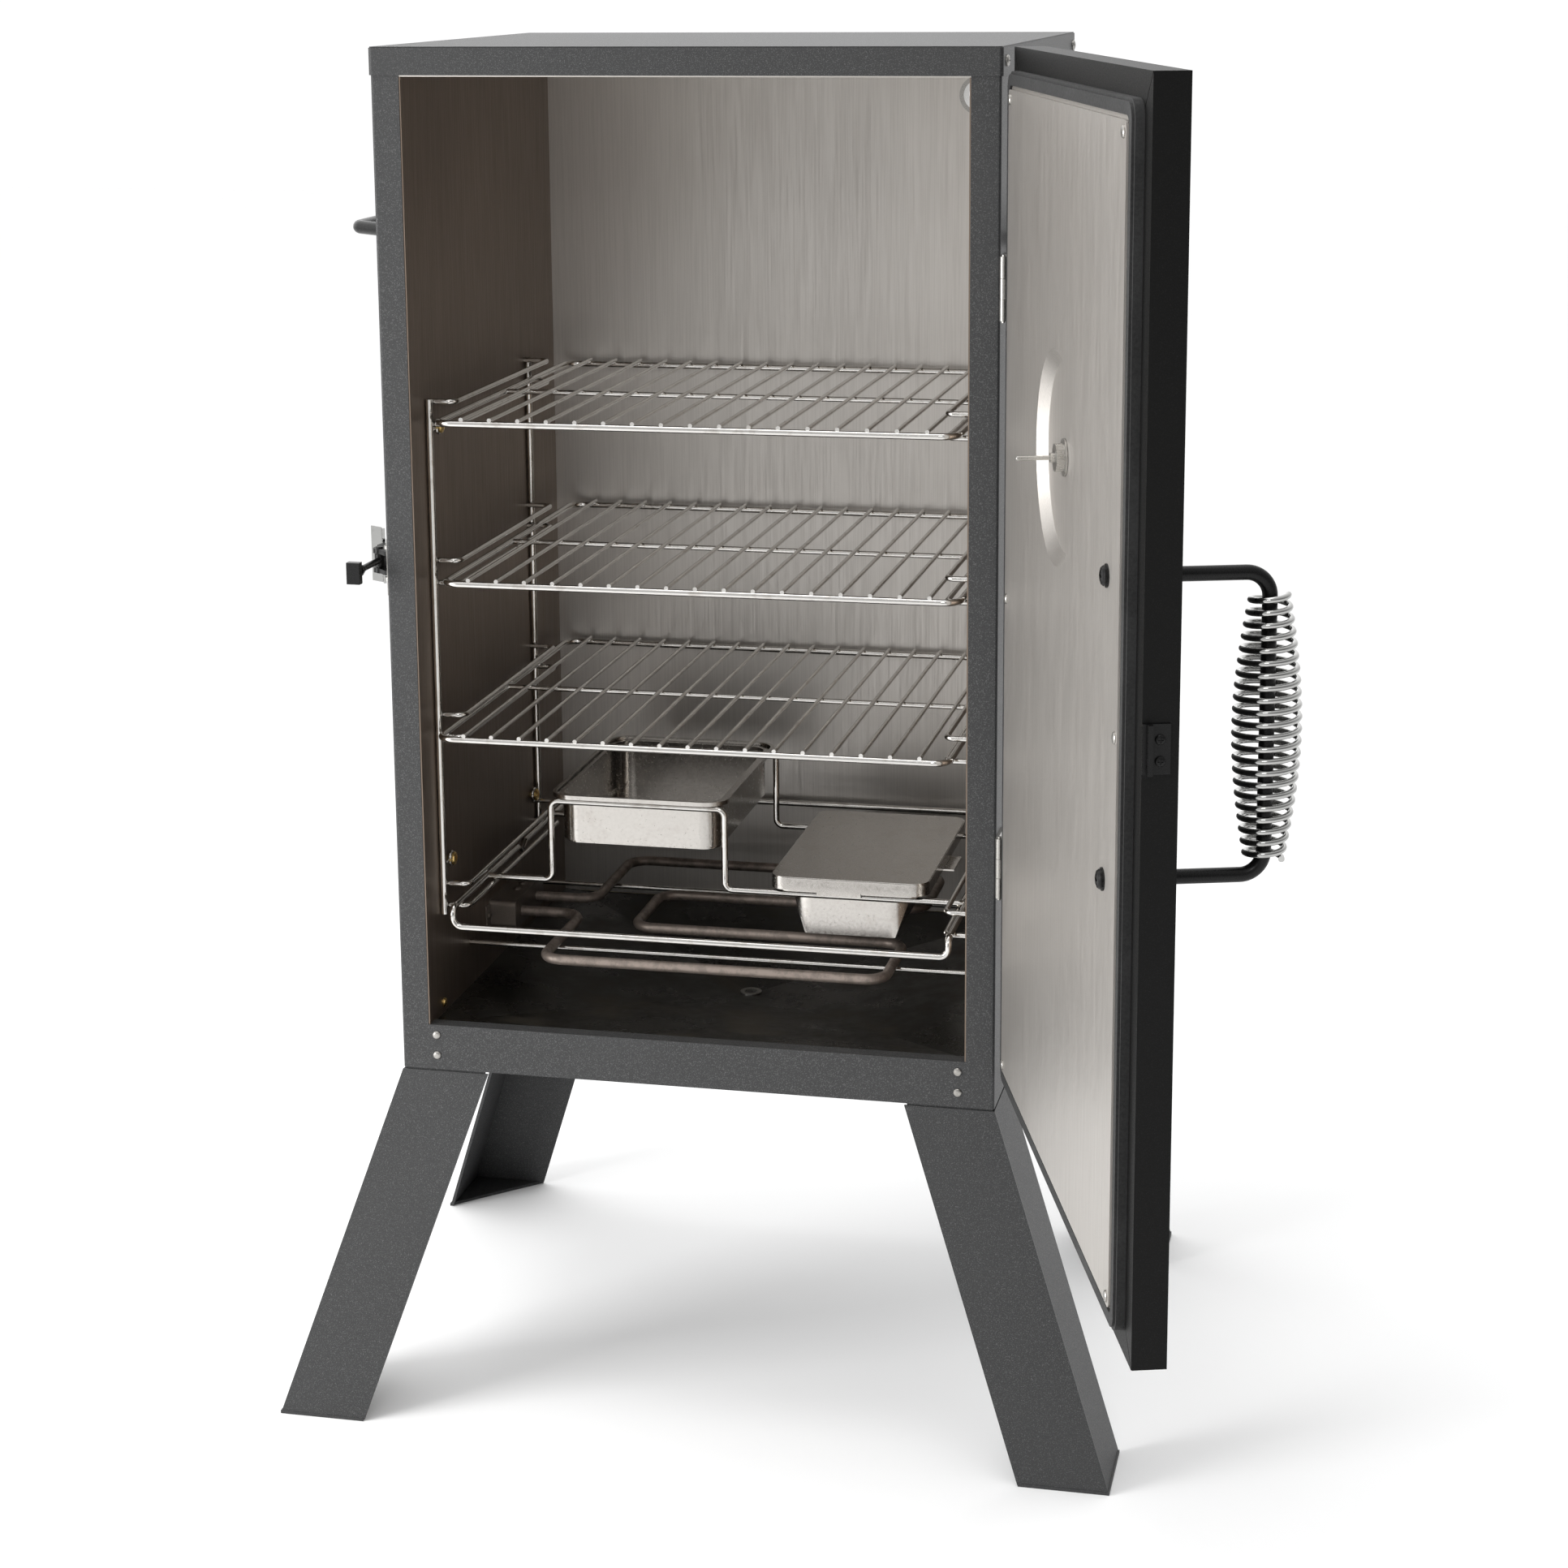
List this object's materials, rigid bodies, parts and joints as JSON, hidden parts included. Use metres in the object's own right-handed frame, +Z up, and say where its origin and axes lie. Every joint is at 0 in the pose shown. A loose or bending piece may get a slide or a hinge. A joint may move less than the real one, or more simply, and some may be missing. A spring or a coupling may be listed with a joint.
{
  "type": "electric cabinet smoker",
  "caption": "Insulated upright electric cabinet smoker on splayed legs, with a hinged door, sliding wire racks, water bowl, chip tray and heating element.",
  "frame": {"origin": "floor level, in the middle of the footprint of the whole object with its door drawn open", "axes": "+Z up; the cabinet's front faces -Y; the door hangs on the +X side"},
  "size_m": [0.7748, 0.8745, 1.034],
  "materials": {
    "body_paint": "dark grey satin enamel with a fine fleck",
    "door_paint": "near-black satin enamel",
    "black_steel": "black enamelled steel",
    "liner_steel": "brushed, slightly browned by use",
    "side_liner": "brushed, browned by smoke",
    "floor_enamel": "dark, greasy satin",
    "wire_chrome": "plated wire, dulled",
    "fixing_steel": "plated",
    "brass": "satin",
    "element_tube": "heat darkened",
    "bracket_steel": "heat darkened",
    "black_plastic": "moulded, matte",
    "tray_steel": "pressed sheet, satin",
    "insulation": "mineral wool",
    "seal": "matte",
    "bright_chrome": "polished",
    "dial_white": "printed face",
    "mark_black": "printed marks",
    "needle_red": "enamel",
    "glass": "clear"
  },
  "bodies": {
    "cabinet": {"side_panel_left": "body_paint", "side_panel_right": "body_paint", "back_panel": "body_paint", "bottom_plate": "body_paint", "top_cap": "body_paint", "front_rail": "body_paint", "cabinet_fixings": "fixing_steel", "wall_insulation": "insulation", "liner_left": "side_liner", "liner_right": "side_liner", "liner_back": "liner_steel", "liner_top": "liner_steel", "floor_pan": "floor_enamel", "drain_spout": "fixing_steel", "vent_sleeve": "fixing_steel", "leg_front_left": "body_paint", "leg_front_right": "body_paint", "leg_back_left": "body_paint", "leg_back_right": "body_paint", "rack_posts": "wire_chrome", "rack_rails_left": "wire_chrome", "rack_rails_right": "wire_chrome", "liner_screws": "brass", "element_supports": "wire_chrome", "heating_element": "element_tube", "element_bracket": "bracket_steel", "power_inlet": "black_plastic", "inlet_pins": "fixing_steel", "hinge_leaves": "fixing_steel", "latch_base": "fixing_steel", "side_handle_left": "black_steel", "side_handle_right": "black_steel"},
    "door": {"door_shell": "door_paint", "door_liner": "liner_steel", "door_insulation": "insulation", "door_gasket": "seal", "liner_rivets": "fixing_steel", "handle_screws": "black_steel", "handle_rod": "black_steel", "handle_spring": "bright_chrome", "gauge_case": "bright_chrome", "gauge_dial": "dial_white", "gauge_marks": "mark_black", "gauge_glass": "glass", "gauge_stem": "fixing_steel", "gauge_nut": "fixing_steel", "strike_bracket": "black_steel", "door_hinge_leaves": "fixing_steel"},
    "thermometer_needle": {"gauge_needle": "needle_red"},
    "rack_top": {"rack_upper": "wire_chrome"},
    "rack_mid": {"rack_middle": "wire_chrome"},
    "rack_bottom": {"rack_lower": "wire_chrome"},
    "tray_rack": {"tray_frame": "wire_chrome", "tray_cradle": "wire_chrome"},
    "bowl": {"water_bowl": "tray_steel"},
    "chips": {"chip_tray": "tray_steel"},
    "chips_cover": {"chip_tray_lid": "tray_steel"},
    "lever": {"latch_lever": "black_steel", "latch_wing": "bright_chrome"},
    "bolt": {"latch_bolt": "black_steel"}
  },
  "joints": [
    {"name": "door_hinge", "type": "hinge", "parent": "cabinet", "child": "door", "pos_m": [0.16055, 0.00203, 0.663], "axis": [0, 0, 1], "range_deg": [-107.5, 52.5]},
    {"name": "needle_turn", "type": "hinge", "parent": "door", "child": "thermometer_needle", "pos_m": [0.25168, -0.19887, 0.788], "axis": [0.9537, 0.3007, 0], "range_deg": [-270, 0], "stiffness_Nm_per_rad": 0.0005},
    {"name": "rack_top_slide", "type": "slide", "parent": "cabinet", "child": "rack_top", "axis": [0, -1, 0], "range_m": [0, 0.25]},
    {"name": "rack_mid_slide", "type": "slide", "parent": "cabinet", "child": "rack_mid", "axis": [0, -1, 0], "range_m": [0, 0.25]},
    {"name": "rack_bottom_slide", "type": "slide", "parent": "cabinet", "child": "rack_bottom", "axis": [0, -1, 0], "range_m": [0, 0.25]},
    {"name": "tray_rack_slide", "type": "slide", "parent": "cabinet", "child": "tray_rack", "axis": [0, -1, 0], "range_m": [0, 0.14]},
    {"name": "bowl_lift", "type": "slide", "parent": "tray_rack", "child": "bowl", "axis": [0, 0, 1], "range_m": [0, 0.045]},
    {"name": "chips_lift", "type": "slide", "parent": "tray_rack", "child": "chips", "axis": [0, 0, 1], "range_m": [0, 0.045]},
    {"name": "chips_cover_lift", "type": "slide", "parent": "chips", "child": "chips_cover", "axis": [0, 0, 1], "range_m": [0, 0.04]},
    {"name": "lever_swing", "type": "hinge", "parent": "cabinet", "child": "lever", "pos_m": [-0.30045, 0.02703, 0.657], "axis": [0, 0, 1], "range_deg": [-14, 100]},
    {"name": "bolt_swing", "type": "hinge", "parent": "lever", "child": "bolt", "pos_m": [-0.31111, 0.03674, 0.657], "axis": [0, 0, 1], "range_deg": [-110, 15.4]}
  ],
  "couplings": [
    {"joint": "bolt_swing", "follows": "lever_swing", "ratio": -1.1}
  ]
}
